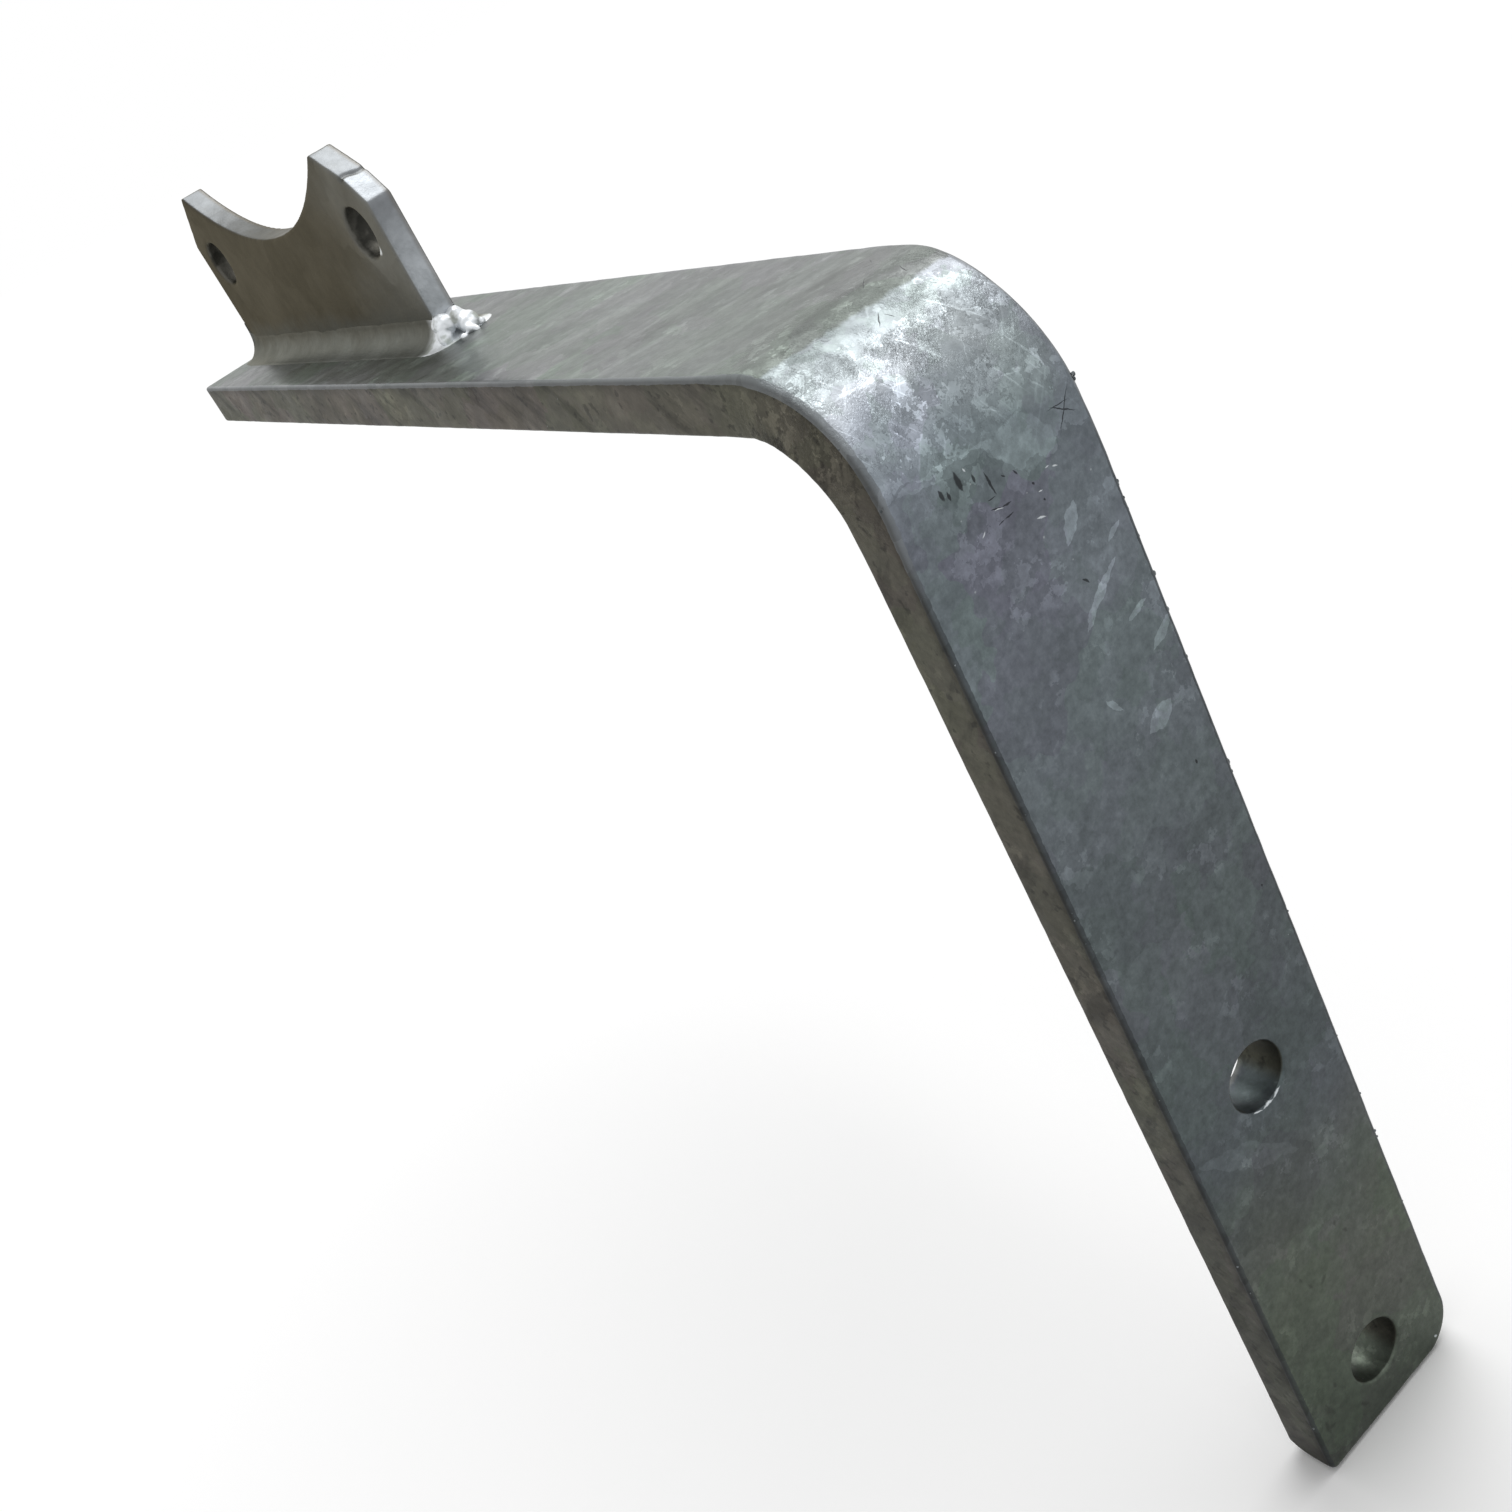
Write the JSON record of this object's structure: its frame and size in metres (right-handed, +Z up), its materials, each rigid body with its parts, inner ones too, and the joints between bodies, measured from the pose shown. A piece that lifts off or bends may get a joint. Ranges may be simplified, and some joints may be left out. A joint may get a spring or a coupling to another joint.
{
  "type": "support bracket",
  "caption": "Flat steel bar bent square: a bolted leg, a level arm, and a plate with a curved notch welded upright near the arm's free end. Galvanised.",
  "frame": {"origin": "on the leg's wall face (its outer face), halfway between the two bolt holes and on the bar's centre line", "axes": "+X out of the wall face, so the arm reaches towards -X; +Y across the bar; +Z up, square to the arm's top"},
  "size_m": [0.28, 0.0418, 0.283],
  "materials": {
    "bar_zinc": "hot-dip galvanised, dull blue-grey with spangle and handling marks",
    "plate_zinc": "hot-dip galvanised, dull brown-grey faces with bright cut edges",
    "weld_zinc": "hot-dip galvanised weld, bright and lumpy"
  },
  "bodies": {
    "root": {"bent_bar": "bar_zinc", "saddle_plate": "plate_zinc", "weld_bead": "weld_zinc"}
  },
  "joints": []
}
